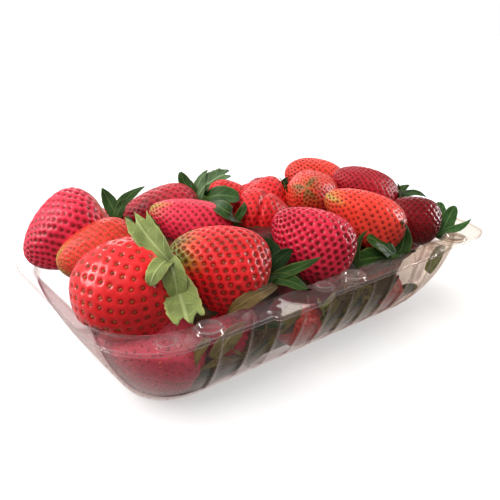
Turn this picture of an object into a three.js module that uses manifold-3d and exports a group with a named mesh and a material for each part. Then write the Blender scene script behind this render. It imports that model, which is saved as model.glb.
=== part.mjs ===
// A punnet of strawberries: an open tray of thin clear plastic, and the heap of fruit that
// fills it and stands well above its rim. Millimetres, +Z up. The origin is the middle of
// the tray's base, +X runs along the tray and -Y is the long side with the lifted corner.
import * as THREE from 'three';
import { mergeVertices } from 'three/addons/utils/BufferGeometryUtils.js';
import Module from 'manifold-3d';

const wasm = await Module();
wasm.setup();

// ---- Driving dimensions -------------------------------------------------------------
const RIM_LENGTH = 190;          // outer edge of the flange
const RIM_WIDTH = 112;
const RIM_HEIGHT = 40;
const RIM_RADIUS = 24;           // the flange's corners
const SHEET = 0.8;               // thickness of the plastic
const END_FLANGE = 4;            // width of the flange along the short ends
const SIDE_FLANGE = 11;          // and along the long sides, where the lid clips on
const LIP_DROP = 1.2;            // the flange's edge turns down this far
const LIP_WIDTH = 1;

// The walls lean in below the flange: slowly at first, then in a sweep down to the base.
const END_LEAN = 0.18;           // mm inward for each mm down
const END_SWEEP = 10.5;          // further mm inward at the base
const SIDE_LEAN = -0.07;
const SIDE_SWEEP = 20.5;
const WALL_TOP_RADIUS = 24;
const WALL_BASE_RADIUS = 18;
const WALL_DEPTHS = [RIM_HEIGHT, 35, 28, 18, 7]; // levels of the wall, from the base up

const RIB_COUNT = 10;            // upright ribs pressed outward in each long wall
const RIB_SPACING = 12.4;
const RIB_WIDTH = 3.2;
const RIB_DEPTH = 0.9;
const RIB_FADE = 6;              // the ribs start and end this far from rim and base

const LOCK_SPACING = 64;         // three pairs of lid locks on each long flange
const LOCK_ROW = 50.7;           // their distance from the tray's middle
const BUTTON_RADIUS = 5.2;
const BUTTON_HEIGHT = 1.6;
const DISH_RADIUS = 3.8;         // the hollow in the top of each button
const DISH_DEPTH = 1.2;
const PAD_OFFSET = -14;          // the smaller flat pad beside each button
const PAD_ROW = 49.6;
const PAD_RADIUS = 4;
const PAD_HEIGHT = 1;
const ROUND_SIDES = 14;

const TAB_LIFT = 1.2;            // the one corner of the flange that is bent up
const TAB_START = 46;            // where along X it begins to rise, and is fully up
const TAB_FULL = 54;

const FRUIT_GAP = 0.4;           // clearance between fruit and plastic
const LOCK_CLEARANCE = TAB_LIFT + BUTTON_HEIGHT + FRUIT_GAP;
const SMALL = 1e-3;

// ---- Fruit --------------------------------------------------------------------------
// Each berry: its middle, the heading of its tip (degrees from +X towards +Y), the tip's
// pitch above the level, its length, its width, and how much it tapers to the tip.
const TOP_BERRIES = {
  frontCorner: { at: [-75, -22.5, 46.5], heading: 128, pitch: -33, size: [36, 33.5], taper: -0.1 },
  leftBack: { at: [-75.5, 30.5, 50.5], heading: 163, pitch: -25, size: [35, 31.5], taper: 0.36 },
  leftMiddle: { at: [-71, 11, 47.5], heading: 162, pitch: -8, size: [31, 25], taper: 0.3 },
  greenTipBack: { at: [-37, 1, 54], heading: 144, pitch: 18, size: [34, 23], taper: 0.38 },
  greenTipFront: { at: [-42.5, -25, 47], heading: 143, pitch: 24, size: [36.5, 32.5], taper: 0.3 },
  darkBack: { at: [-36, 27, 50.5], heading: 149, pitch: -8, size: [37, 26], taper: 0.35 },
  behindLeaves: { at: [-9, 13, 54], heading: -30, pitch: -7, size: [24, 23], taper: 0.3 },
  creased: { at: [-2, -1, 50], heading: -49, pitch: -16, size: [29, 26], taper: 0.25 },
  smallBack: { at: [11, 15, 51.5], heading: 145, pitch: -8, size: [22, 23], taper: 0.35 },
  highBack: { at: [46, 17, 57], heading: 143, pitch: 21, size: [32, 21], taper: 0.15 },
  tipToFront: { at: [25, -1, 56], heading: -145, pitch: 35, size: [27, 27], taper: 0.35 },
  highRight: { at: [50.5, -10, 56], heading: 138, pitch: 25, size: [33, 21.5], taper: 0.25 },
  pinkFront: { at: [-3.5, -29, 49], heading: 139, pitch: 30, size: [36, 28.5], taper: 0.33 },
  orangeFront: { at: [28, -30, 53], heading: 139, pitch: 29, size: [37, 23], taper: 0.35 },
  crimsonEnd: { at: [60.5, -30, 45.5], heading: 135, pitch: 17, size: [27.5, 21], taper: 0.28 },
  backRowLeft: { at: [-8, 30, 45], heading: 40, pitch: 10, size: [34, 28], taper: 0.35 },
  backRowMiddle: { at: [20, 31, 45], heading: 150, pitch: 12, size: [33, 27], taper: 0.3 },
  backRowRight: { at: [50, 29, 44], heading: 20, pitch: 5, size: [34, 28], taper: 0.35 },
  farEnd: { at: [66, 4, 42], heading: 70, pitch: -10, size: [32, 27], taper: 0.35 },
};

// Berries that lie under those and close the gaps between them.
const MIDDLE_BERRIES = [
  [-56, -6, 39], [-57, 22, 40], [-55, 38, 42], [-20, -15, 39], [-21, 14, 42], [-23, 40, 42],
  [12, -17, 41], [7, 36, 42], [43, -22, 40], [38, 6, 43], [36, 38, 42], [64, 24, 38],
  [61, -21, 35],
];
const MIDDLE_SIZE = [31, 27];

// The lower layer, which shows through the walls: a row along each long side.
const LOWER_BERRIES = [
  { at: [-68, -25, 21], heading: 240, pitch: 15, size: [36, 38], taper: 0.2 },
  { at: [-42, -27, 24], heading: 240, pitch: 10, size: [31, 28], taper: 0.32 },
  { at: [-9, -29, 16], heading: 215, pitch: 15, size: [28, 23], taper: 0.3 },
  { at: [21, -20, 16], heading: 240, pitch: -10, size: [31, 27], taper: 0.32 },
  { at: [47, -26, 13], heading: 230, pitch: 15, size: [30, 23], taper: 0.32 },
  { at: [-59, 17, 26], heading: 190, pitch: -10, size: [32, 28], taper: 0.32 },
  { at: [-42, 20, 16], heading: 40, pitch: 10, size: [33, 28], taper: 0.32 },
  { at: [-8, 22, 17], heading: 95, pitch: -2, size: [33, 28], taper: 0.32 },
  { at: [25, 22, 17], heading: 150, pitch: 10, size: [33, 28], taper: 0.32 },
  { at: [54, 20, 17], heading: 40, pitch: -2, size: [33, 28], taper: 0.32 },
];

// The core under them: height, half length and half width of each of its levels.
const CORE_LEVELS = [
  [1.4, 64, 23], [10, 70, 29], [22, 74, 34], [34, 74, 36], [44, 68, 31], [51, 52, 18],
];
const CORE_SIDES = 20;

// Sepals: where each grows from, a point it passes through, where it ends, its width, and
// the form of its end.
const SEPALS = [
  [[-66, -33, 57], [-70, -30, 63], [-72, -18, 70], 8.5, 'toothed'],
  [[-67, -33, 57], [-73, -38, 58], [-77, -40, 55], 6, 'round'],
  [[-67, -34, 58], [-68, -40, 50], [-70, -50, 42], 11, 'toothed'],
  [[-67, -34, 58], [-69, -39, 55], [-68, -40, 47], 7.5, 'round'],
  [[-50, 4, 54], [-50, 5, 57], [-50, 9, 60], 2.5, 'pointed'],
  [[-58, 23, 56], [-58, 27, 61], [-59, 32, 66], 6, 'pointed'],
  [[-57, 23, 57], [-52, 24, 62], [-45, 23, 66], 5, 'pointed'],
  [[-59, 21, 56], [-56, 22, 60], [-54, 23, 63], 4, 'pointed'],
  [[-21, 19, 58], [-23, 23, 62], [-25, 28, 69], 6, 'round'],
  [[-21, 19, 58], [-16, 20, 65], [-5, 16, 67], 9, 'toothed'],
  [[-21, 20, 58], [-19, 23, 63], [-14, 23, 69], 5, 'pointed'],
  [[-21, 16, 58], [-20, 6, 62], [-14, -1, 61], 10.5, 'round'],
  [[-21, 15, 57], [-30, -12, 62], [-17, -6, 53], 6, 'pointed'],
  [[-18, -3, 53], [-17, -4, 57], [-14, -3, 61], 3.5, 'pointed'],
  [[-29, -36, 41], [-22, -41, 45], [-13, -46, 50], 4.5, 'pointed'],
  [[-28, -37, 42], [-24, -43, 43], [-20, -50, 38], 5.5, 'pointed'],
  [[-31, -38, 42], [-38, -38, 40], [-47, -35, 34], 7, 'round'],
  [[-30, -38, 43], [-35, -38, 41], [-41, -37, 37], 3, 'pointed'],
  [[-26, -32, 43], [-21, -30, 48], [-23, -25, 53], 5.5, 'pointed'],
  [[-26, -33, 43], [-21, -34, 47], [-16, -35, 50], 6, 'pointed'],
  [[10, -44, 38], [12, -42, 46], [16, -42, 53], 2.5, 'pointed'],
  [[35, -43, 35], [38, -44, 43], [40, -40, 52], 7.5, 'pointed'],
  [[35, -43, 35], [32, -39, 42], [27, -33, 46], 9, 'round'],
  [[33, -44, 35], [26, -40, 36], [18, -35, 34], 9, 'round'],
  [[35, -40, 36], [30, -35, 39], [24, -31, 39], 6.5, 'pointed'],
  [[34, -44, 36], [37, -47, 37], [41, -48, 40], 5, 'pointed'],
  [[70, -40, 40], [73, -41, 44], [78, -41, 51], 6.5, 'round'],
  [[73, -38, 41], [76, -35, 46], [78, -32, 51], 5, 'round'],
  [[69, -41, 40], [74, -44, 42], [82, -47, 45], 3.5, 'pointed'],
  [[64, -17, 52], [67, -18, 55], [73, -18, 57], 4, 'pointed'],
  [[65, -18, 51], [73, -20, 53], [80, -24, 51], 4, 'pointed'],
  [[21, 10, 57], [21, 11, 60], [22, 12, 63], 3.5, 'pointed'],
  [[-13, 2, 46], [-11, 1, 48], [-9, 0, 49], 4, 'pointed'],
  [[-60, -42, 29], [-62, -41, 25], [-64, -39, 20], 4, 'round'],
];
const SEPAL_THICKNESS = 1;
const SEPAL_STEPS = 3;
const SEPAL_ROOT = 3;            // length of blade hidden in the fruit
const SEPAL_FACE = [-0.4, -0.5, 0.77];   // the way most of the blades face

// Berries whose sepals still lie flat on the shoulder, as a star with this many tips.
const STARRED = ['leftMiddle', 'greenTipBack', 'behindLeaves', 'smallBack', 'highBack', 'tipToFront',
  'highRight', 'backRowLeft', 'backRowMiddle', 'backRowRight'];
const STAR_TIPS = 6;
const STAR_THICKNESS = 1.2;

const plastic = new THREE.MeshStandardMaterial({ color: 0xe8e2df, roughness: 0.08, metalness: 0 });
const fruit = new THREE.MeshStandardMaterial({ color: 0xc9182a, roughness: 0.32, metalness: 0 });

// ---- Solids and geometries ----------------------------------------------------------
function solidOf(geometry) {
  const bare = geometry.clone();
  bare.deleteAttribute('normal');
  bare.deleteAttribute('uv');
  const merged = mergeVertices(bare, SMALL);
  return new wasm.Manifold(new wasm.Mesh({
    numProp: 3,
    vertProperties: new Float32Array(merged.attributes.position.array),
    triVerts: new Uint32Array(merged.index.array),
  }));
}

function geometryOf(solid) {
  const mesh = solid.getMesh();
  const geometry = new THREE.BufferGeometry();
  geometry.setAttribute('position', new THREE.BufferAttribute(mesh.vertProperties, 3));
  geometry.setIndex(new THREE.BufferAttribute(mesh.triVerts, 1));
  geometry.computeVertexNormals();
  return geometry;
}

// The largest closed body of a solid: loose scraps and the skins of sealed hollows go.
function onePiece(solid) {
  const bodies = solidOf(geometryOf(solid)).decompose();
  bodies.sort((a, b) => b.volume() - a.volume());
  return bodies[0];
}

// A closed skin over a stack of rings with equal numbers of points, capped at both ends.
function loft(rings) {
  const sides = rings[0].length;
  const positions = rings.flat(2);
  const index = [];
  for (let level = 0; level + 1 < rings.length; level++) {
    for (let i = 0; i < sides; i++) {
      const a = level * sides + i;
      const b = level * sides + (i + 1) % sides;
      index.push(a, b, b + sides, a, b + sides, a + sides);
    }
  }
  const cap = (ring, level, flip) => {
    const centre = positions.length / 3;
    const sum = ring.reduce((total, p) => [total[0] + p[0], total[1] + p[1], total[2] + p[2]]);
    positions.push(sum[0] / sides, sum[1] / sides, sum[2] / sides);
    for (let i = 0; i < sides; i++) {
      const a = level * sides + i;
      const b = level * sides + (i + 1) % sides;
      if (flip) index.push(b, a, centre);
      else index.push(a, b, centre);
    }
  };
  cap(rings[0], 0, true);
  cap(rings[rings.length - 1], rings.length - 1, false);
  const geometry = new THREE.BufferGeometry();
  geometry.setAttribute('position', new THREE.Float32BufferAttribute(positions, 3));
  geometry.setIndex(index);
  return geometry;
}

// ---- The tray -----------------------------------------------------------------------
const smoothStep = (low, high, value) => THREE.MathUtils.smoothstep(value, low, high);

// The bent-up corner fades out towards the middle of the tray and down the wall.
function cornerLift(x, y, depth) {
  const along = smoothStep(TAB_START, TAB_FULL, x);
  const across = smoothStep(44, 54, -y);
  return TAB_LIFT * along * across * Math.max(0, 1 - depth / 12);
}

// One level ring of the tray, walked counterclockwise. Each long side has three points for
// each rib, so that every ring has the same number.
function trayRing(halfLength, halfWidth, radius, z, ribDepth, depth) {
  const points = [];
  const cornerSteps = 5;
  const corner = (cx, cy, from) => {
    for (let step = 0; step <= cornerSteps; step++) {
      const angle = THREE.MathUtils.degToRad(from + 90 * step / cornerSteps);
      points.push([cx + radius * Math.cos(angle), cy + radius * Math.sin(angle)]);
    }
  };
  const side = (direction) => {
    for (let rib = 0; rib < RIB_COUNT; rib++) {
      const middle = (rib - (RIB_COUNT - 1) / 2) * RIB_SPACING;
      for (const [offset, out] of [[-0.5, 0], [0, 1], [0.5, 0]]) {
        const x = direction * (middle + offset * RIB_WIDTH);
        const reach = halfLength - radius;
        const kept = THREE.MathUtils.clamp(x, -reach + SMALL * 10 * (rib + 1), reach - SMALL * 10);
        points.push([kept, -direction * (halfWidth + out * ribDepth)]);
      }
    }
  };
  side(1);
  corner(halfLength - radius, -halfWidth + radius, -90);
  corner(halfLength - radius, halfWidth - radius, 0);
  side(-1);
  corner(-halfLength + radius, halfWidth - radius, 90);
  corner(-halfLength + radius, -halfWidth + radius, 180);
  return points.map(([x, y]) => [x, y, z + cornerLift(x, y, depth)]);
}

// The outer face of the wall, `depth` below the rim, moved in by `skin`.
function wallRing(depth, skin, ribDepth) {
  const part = depth / RIM_HEIGHT;
  const endInset = END_FLANGE + END_LEAN * depth + END_SWEEP * part ** 2;
  const sideInset = SIDE_FLANGE + SIDE_LEAN * depth + SIDE_SWEEP * part ** 2;
  const radius = THREE.MathUtils.lerp(WALL_TOP_RADIUS, WALL_BASE_RADIUS, part ** 2);
  return trayRing(RIM_LENGTH / 2 - endInset - skin, RIM_WIDTH / 2 - sideInset - skin,
    radius - skin, RIM_HEIGHT - depth, ribDepth, depth);
}

function flangeRing(inset, drop) {
  return trayRing(RIM_LENGTH / 2 - inset, RIM_WIDTH / 2 - inset, RIM_RADIUS - inset,
    RIM_HEIGHT - drop, 0, 0);
}

// An upright tapered round on the flange, between two heights over it.
function stub([x, y], low, high, lowRadius, highRadius) {
  const round = new THREE.CylinderGeometry(highRadius, lowRadius, high - low, ROUND_SIDES);
  round.rotateX(Math.PI / 2);
  round.translate(x, y, RIM_HEIGHT + (low + high) / 2 + cornerLift(x, y, 0));
  return solidOf(round);
}

function traySolid() {
  const ribDepth = (depth) => RIB_DEPTH
    * smoothStep(0, RIB_FADE, depth) * smoothStep(0, RIB_FADE, RIM_HEIGHT - depth);
  const rings = WALL_DEPTHS.map((depth) => wallRing(depth, 0, ribDepth(depth)));
  rings.push(wallRing(SHEET, 0, 0));
  rings.push(flangeRing(LIP_WIDTH, SHEET));
  rings.push(flangeRing(LIP_WIDTH, LIP_DROP));
  rings.push(flangeRing(0, LIP_DROP));
  rings.push(flangeRing(0, 0));
  rings.push(wallRing(0, SHEET, 0));
  for (const depth of [...WALL_DEPTHS].reverse()) {
    rings.push(wallRing(Math.min(depth, RIM_HEIGHT - SHEET), SHEET, ribDepth(depth)));
  }
  let tray = solidOf(loft(rings));
  for (const side of [-1, 1]) {
    for (const place of [-1, 0, 1]) {
      const x = place * LOCK_SPACING;
      const button = [x, side * LOCK_ROW];
      const pad = [x + PAD_OFFSET, side * PAD_ROW];
      tray = tray.add(stub(button, -SHEET / 2, BUTTON_HEIGHT, BUTTON_RADIUS, BUTTON_RADIUS - 0.7));
      tray = tray.subtract(stub(button, BUTTON_HEIGHT - DISH_DEPTH, BUTTON_HEIGHT + 1,
        DISH_RADIUS - 0.7, DISH_RADIUS + 0.5));
      tray = tray.add(stub(pad, -SHEET / 2, PAD_HEIGHT, PAD_RADIUS, PAD_RADIUS - 1));
    }
  }
  return tray;
}

// The room that fruit may take: the hollow of the tray, and the air over its rim.
function fruitRoom() {
  const clear = SHEET + FRUIT_GAP;
  const hollow = loft([...WALL_DEPTHS, 0, -LOCK_CLEARANCE].map(
    (depth) => wallRing(Math.min(depth, RIM_HEIGHT - clear), clear, 0)));
  const air = new THREE.BoxGeometry(RIM_LENGTH, RIM_WIDTH, 80);
  air.translate(0, 0, RIM_HEIGHT + BUTTON_HEIGHT + FRUIT_GAP + 40);
  const corner = new THREE.BoxGeometry(RIM_LENGTH, SIDE_FLANGE * 2, LOCK_CLEARANCE * 2);
  corner.translate(TAB_START + RIM_LENGTH / 2, -RIM_WIDTH / 2, RIM_HEIGHT);
  return solidOf(air).subtract(solidOf(corner)).add(solidOf(hollow));
}

// ---- Berries ------------------------------------------------------------------------
const TOP_DETAIL = { sides: 10, rings: 7 };
const HIDDEN_DETAIL = { sides: 8, rings: 5 };
const ROUNDNESS = 2.2;           // power of the outline: 2 is an ellipse, more is blockier

function berryOutline(along, taper) {
  const round = (1 - Math.abs(along) ** ROUNDNESS) ** (1 / ROUNDNESS);
  return round * (1 - taper * along);
}

// Places what is built along +Y, from calyx to tip, where the berry lies.
function layDown(geometry, { at, heading, pitch }) {
  const turn = THREE.MathUtils.degToRad(heading);
  const rise = THREE.MathUtils.degToRad(pitch);
  const tip = new THREE.Vector3(
    Math.cos(turn) * Math.cos(rise), Math.sin(turn) * Math.cos(rise), Math.sin(rise));
  geometry.applyQuaternion(new THREE.Quaternion().setFromUnitVectors(new THREE.Vector3(0, 1, 0), tip));
  geometry.translate(...at);
  return solidOf(geometry);
}

function berrySolid(berry, { sides, rings }) {
  const [length, width] = berry.size;
  const stations = [];
  for (let ring = 0; ring <= rings; ring++) {
    stations.push(-Math.cos(Math.PI * ring / rings));
  }
  const widest = Math.max(...stations.map((along) => berryOutline(along, berry.taper)));
  const profile = stations.map((along) => new THREE.Vector2(
    Math.max(0, berryOutline(along, berry.taper)) / widest * width / 2, along * length / 2));
  return layDown(new THREE.LatheGeometry(profile, sides), berry);
}

// The star of sepals: its middle sits on the calyx end, its tips stand off the shoulder.
function starSolid(berry) {
  const [length, width] = berry.size;
  const rings = [0, STAR_THICKNESS].map((lift) => {
    const ring = [];
    for (let point = 0; point < STAR_TIPS * 2; point++) {
      const angle = Math.PI * point / STAR_TIPS;
      const isTip = point % 2 === 0;
      const radius = width * (isTip ? 0.5 : 0.16);
      const back = length * (isTip ? 0.4 : 0.5);
      ring.push([radius * Math.cos(angle), -back - lift, radius * Math.sin(angle)]);
    }
    return ring;
  });
  return layDown(loft(rings), berry);
}

// How wide a sepal is from root (0) to end (1), as a share of its full width.
function sepalShare(end, t) {
  if (end === 'round') return 2 * Math.sqrt((0.05 + 0.94 * t) * (0.95 - 0.94 * t));
  if (end === 'toothed') return 0.25 + 0.75 * smoothStep(-0.1, 0.6, t);
  return Math.max(0.06 + 0.2 * (1 - t), Math.sin(Math.PI * (0.1 + 0.9 * t ** 0.95)) ** 0.75);
}

// A sepal is a thin blade along a curve through its three points.
function sepalSolid([from, through, to, width, end]) {
  const root = new THREE.Vector3(...from);
  const middle = new THREE.Vector3(...through);
  const tip = new THREE.Vector3(...to);
  root.addScaledVector(middle.clone().sub(root).normalize(), -SEPAL_ROOT);
  const control = middle.clone().multiplyScalar(2).sub(root.clone().add(tip).multiplyScalar(0.5));
  const curve = new THREE.QuadraticBezierCurve3(root, control, tip);
  const rings = [];
  for (let step = 0; step <= SEPAL_STEPS; step++) {
    const t = step / SEPAL_STEPS;
    const forward = curve.getTangent(t);
    const across = new THREE.Vector3(...SEPAL_FACE).cross(forward).normalize();
    const face = forward.clone().cross(across);
    const spread = width / 2 * sepalShare(end, t);
    const ring = [];
    for (const [side, level] of [[-1, -0.5], [0, -0.9], [1, -0.5], [1, 0.5], [0, 0.1], [-1, 0.5]]) {
      const point = curve.getPoint(t).addScaledVector(across, side * spread)
        .addScaledVector(face, level * SEPAL_THICKNESS);
      ring.push(point.toArray());
    }
    rings.push(ring);
  }
  return solidOf(loft(rings));
}

// The core fills the heap under the berries that show, well inside the tray's walls.
function coreSolid() {
  const rings = CORE_LEVELS.map(([z, halfLength, halfWidth]) => {
    const ring = [];
    for (let i = 0; i < CORE_SIDES; i++) {
      const angle = 2 * Math.PI * i / CORE_SIDES;
      const squared = (value) => Math.sign(value) * Math.abs(value) ** 0.6;
      ring.push([halfLength * squared(Math.cos(angle)), halfWidth * squared(Math.sin(angle)), z]);
    }
    return ring;
  });
  return solidOf(loft(rings));
}

function middleBerries() {
  return MIDDLE_BERRIES.map((at, number) => (
    { at, heading: 137 * number, pitch: 12 * (number % 3), size: MIDDLE_SIZE, taper: 0.32 }));
}

function heapSolid() {
  let heap = coreSolid();
  for (const [name, berry] of Object.entries(TOP_BERRIES)) {
    heap = heap.add(berrySolid(berry, TOP_DETAIL));
    if (STARRED.includes(name)) heap = heap.add(starSolid(berry));
  }
  for (const berry of [...middleBerries(), ...LOWER_BERRIES]) {
    heap = heap.add(berrySolid(berry, HIDDEN_DETAIL));
  }
  for (const sepal of SEPALS) {
    heap = heap.add(sepalSolid(sepal));
  }
  return onePiece(heap.intersect(fruitRoom()));
}

// ---- The punnet ---------------------------------------------------------------------
function named(name, solid, material) {
  const mesh = new THREE.Mesh(geometryOf(solid), material);
  mesh.name = name;
  return mesh;
}

const punnet = new THREE.Group();
punnet.add(named('tray', traySolid(), plastic));
punnet.add(named('strawberries', heapSolid(), fruit));

export default punnet;
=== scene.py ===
"""A punnet of strawberries: the fine berries, seeds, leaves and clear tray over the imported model.

The part's lengths and the camera's place are in millimetres, and become metres where an object is
made. Lamps, the floor and the scales inside materials are in metres. The origin is the middle of
the tray's base.
"""
import math
from typing import NamedTuple

import bpy
import numpy as np
from mathutils import Matrix, Vector


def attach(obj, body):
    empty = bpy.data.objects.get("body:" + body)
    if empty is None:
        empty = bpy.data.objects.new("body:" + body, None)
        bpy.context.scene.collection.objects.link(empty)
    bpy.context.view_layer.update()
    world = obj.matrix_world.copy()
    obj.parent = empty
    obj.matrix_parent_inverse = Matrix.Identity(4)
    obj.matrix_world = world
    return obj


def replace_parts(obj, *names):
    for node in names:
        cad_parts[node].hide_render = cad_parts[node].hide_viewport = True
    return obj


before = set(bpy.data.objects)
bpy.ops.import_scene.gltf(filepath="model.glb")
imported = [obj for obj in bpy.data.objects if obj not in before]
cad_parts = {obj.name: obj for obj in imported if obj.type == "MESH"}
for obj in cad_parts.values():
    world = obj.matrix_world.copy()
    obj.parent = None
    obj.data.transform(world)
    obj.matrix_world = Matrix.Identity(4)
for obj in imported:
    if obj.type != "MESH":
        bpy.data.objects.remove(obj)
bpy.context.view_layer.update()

MM = 0.001

# ---- The tray's driving dimensions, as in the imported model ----
RIM_LENGTH = 190.0
RIM_WIDTH = 112.0
RIM_HEIGHT = 40.0
RIM_RADIUS = 24.0
END_FLANGE = 4.0
SIDE_FLANGE = 11.0
LIP_DROP = 1.2
END_LEAN, END_SWEEP = 0.18, 10.5
SIDE_LEAN, SIDE_SWEEP = -0.07, 20.5
WALL_TOP_RADIUS, WALL_BASE_RADIUS = 24.0, 18.0
RIB_COUNT = 10
RIB_SPACING = 12.4
RIB_WIDTH = 3.2
RIB_DEPTH = 0.9
RIB_FADE = 6.0
LOCK_SPACING, LOCK_ROW = 64.0, 50.7
BUTTON_RADIUS, BUTTON_HEIGHT = 5.2, 1.6
DISH_RADIUS, DISH_DEPTH = 3.8, 1.2
PAD_OFFSET, PAD_ROW, PAD_RADIUS, PAD_HEIGHT = -14.0, 49.6, 4.0, 1.0
TAB_LIFT, TAB_START, TAB_FULL = 1.2, 46.0, 54.0
CAD_SHEET = 0.8
FRUIT_GAP = 0.4
BASE_GAP = 0.2  # further clearance over the base

# ---- What only the scene's tray has ----
SHEET = 0.45  # real thickness of the pressed sheet
TAB_INNER, TAB_OUTER = 44.0, 54.0  # where the lifted corner rises, from the middle outward
TAB_DEPTH = 12.0  # how far down the wall the lift is felt
PANEL_END, PANEL_FOOT, PANEL_ROUND, PANEL_STEP = 25.5, 7.0, 6.0, 0.8
PANEL_BEND = 0.4  # half the width of the step
PANEL_AWAY = (0.35, 1.0, 0.0)  # the step goes mostly straight out
PANEL_FADE_TOP, PANEL_FADE_BASE = (1.0, 5.0), 4.0  # it grows below the rim and ends at the base
FACET_START, FACET_LENGTH, FACET_SLANT, FACET_DROP = -34.0, 24.0, 0.7, 1.5
FACET_FADE_IN, FACET_FADE_OUT = 1.0, 3.0

# ---- Fruit ----
# Colours of skin, linear.
SKINS = {
    "bright": (0.70, 0.012, 0.014),
    "pink": (0.58, 0.012, 0.036),
    "orange": (0.76, 0.035, 0.020),
    "deep": (0.30, 0.006, 0.010),
    "crimson": (0.42, 0.008, 0.018),
    "dark": (0.17, 0.003, 0.006),
    "rosy": (0.76, 0.018, 0.050),
    # Pale pink, made lighter also to make up for the light that the plastic and the heap keep from
    # the berry under the front corner: partly painted light.
    "pale": (0.80, 0.060, 0.100),
    "coral": (0.88, 0.060, 0.040),
}
TIPS = {
    "unripe": (0.40, 0.26, 0.04),
    "green": (0.16, 0.15, 0.02),
    "brown": (0.14, 0.09, 0.02),
}
SEEDS = {
    "rose": (0.50, 0.10, 0.08),
    "gold": (0.42, 0.16, 0.026),
    "brown": (0.24, 0.065, 0.016),
    "dark": (0.12, 0.022, 0.008),
}


class Berry(NamedTuple):
    """One berry. Angles are in degrees."""
    at: tuple              # its middle
    heading: float         # where its tip points, from +X
    pitch: float           # and how far above level
    size: tuple            # length and width
    taper: float           # how much narrower it grows towards the tip
    skin: str
    seeds: int
    pit: float = 0.9       # depth of the pits
    reach: float = 0.47    # radius of a pit, as a share of the room between seeds
    tip: str = None        # colour of a tip that isn't ripe
    tip_size: float = 0.0  # its share of the length
    seed: str = "dark"
    roll: float = 0.0      # turn about its own axis
    crease: float = 0.0    # depth of a fold round its middle
    gloss: float = 0.25
    rosette: bool = False  # whether leaves lie all round its calyx


# The top layer, by the piece each berry is part of.
TOP_BERRIES = {
    "berries_front": {
        "frontCorner": Berry((-75, -22.5, 46.7), 128, -33, (36, 33.5), -0.1, "bright", 280, 0.6,
                             0.38, seed="brown", roll=20, gloss=1.0),
        "greenTipFront": Berry((-42.5, -25, 47), 143, 24, (36.5, 32.5), 0.3, "bright", 430, 0.8,
                               0.5, "green", 0.15, "brown", gloss=0.6),
        "pinkFront": Berry((-2.5, -30, 48.3), 139, 30, (35, 28.5), 0.33, "pink", 400, 1.0, 0.5,
                           gloss=0.8),
    },
    "berries_left": {
        "leftBack": Berry((-75.5, 30.5, 50.5), 163, -25, (35, 31.5), 0.36, "rosy", 420, 0.9, 0.49,
                          roll=60, gloss=0.5),
        "leftMiddle": Berry((-71, 11, 47.5), 162, -8, (31, 25), 0.3, "orange", 620, 0.6, 0.5,
                            "unripe", 0.02, "gold", 10, rosette=True),
        "greenTipBack": Berry((-37, 1, 54), 144, 18, (34, 23), 0.38, "rosy", 430, 0.6, 0.47,
                              "unripe", 0.04, rosette=True),
        "darkBack": Berry((-36, 27, 50.7), 149, -8, (37, 26), 0.35, "crimson", 420, 0.7, 0.47),
        "behindLeaves": Berry((-9, 13, 54), -30, -7, (24, 23), 0.3, "bright", 300, 0.6, 0.47,
                              rosette=True),
        "creased": Berry((-2, -1, 50), -49, -16, (29, 26), 0.25, "bright", 420, 0.55, 0.47,
                         crease=1.6),
        "smallBack": Berry((11, 15, 51.5), 145, -8, (22, 23), 0.35, "bright", 230, 0.4, 0.45,
                           rosette=True),
    },
    "berries_right": {
        "highBack": Berry((46, 17, 57), 143, 21, (32, 21), 0.15, "orange", 380, 0.5, 0.47,
                          rosette=True),
        "tipToFront": Berry((25, -1, 56), -145, 35, (27, 27), 0.35, "orange", 420, 0.5, 0.47,
                            "brown", 0.03, rosette=True),
        "highRight": Berry((50.5, -10, 56), 138, 25, (33, 21.5), 0.25, "crimson", 470, 0.7, 0.48,
                           rosette=True),
        "orangeFront": Berry((28, -30, 53), 139, 29, (37, 23), 0.35, "orange", 400, 0.5, 0.46,
                             "unripe", 0.03, gloss=0.6),
        "crimsonEnd": Berry((60.5, -30, 45.5), 135, 17, (27.5, 21), 0.28, "dark", 340, 0.65, 0.47,
                            gloss=1.0),
    },
    "berries_back": {
        "backRowLeft": Berry((-8, 30, 45), 40, 10, (34, 28), 0.35, "crimson", 380, rosette=True),
        "backRowMiddle": Berry((20, 31, 45), 150, 12, (33, 27), 0.3, "bright", 360, rosette=True),
        "backRowRight": Berry((50, 29, 44), 20, 5, (34, 28), 0.35, "pink", 380, rosette=True),
        "farEnd": Berry((66, 4, 42), 70, -10, (32, 27), 0.35, "deep", 360),
    },
}

MIDDLE_SIZE = (31, 27)
MIDDLE_BERRIES = [
    (-56, -6, 39), (-57, 22, 40), (-55, 38, 42), (-20, -15, 39), (-21, 14, 42), (-23, 40, 42),
    (12, -17, 41), (7, 36, 42), (43, -22, 40), (38, 6, 43), (36, 38, 42), (64, 24, 38),
    (61, -21, 35),
]
LOWER_BERRIES = [
    # Under the front corner; its pale skin is partly painted light.
    Berry((-72, -25, 20.5), 240, 15, (36, 38), 0.2, "pale", 500, 0.2, 0.4, seed="rose"),
    Berry((-42, -27, 24), 240, 10, (31, 28), 0.32, "pink", 330),
    Berry((-9, -29, 16), 215, 15, (28, 23), 0.3, "coral", 280, seed="rose"),
    Berry((21, -20, 16), 240, -10, (31, 27), 0.32, "deep", 330),
    Berry((47, -26, 13), 230, 15, (30, 23), 0.32, "coral", 330, seed="rose"),
    Berry((-59, 17, 26), 190, -10, (32, 28), 0.32, "pink", 420),
    Berry((-42, 20, 16), 40, 10, (33, 28), 0.32, "deep", 330),
    Berry((-8, 22, 17), 95, -2, (33, 28), 0.32, "crimson", 330),
    Berry((25, 22, 17), 150, 10, (33, 28), 0.32, "deep", 330),
    Berry((54, 20, 17), 40, -2, (33, 28), 0.32, "bright", 330),
]

STAR = (-39.5, -35.5, 14.5)  # middle of the star of leaves behind the near wall

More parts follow.
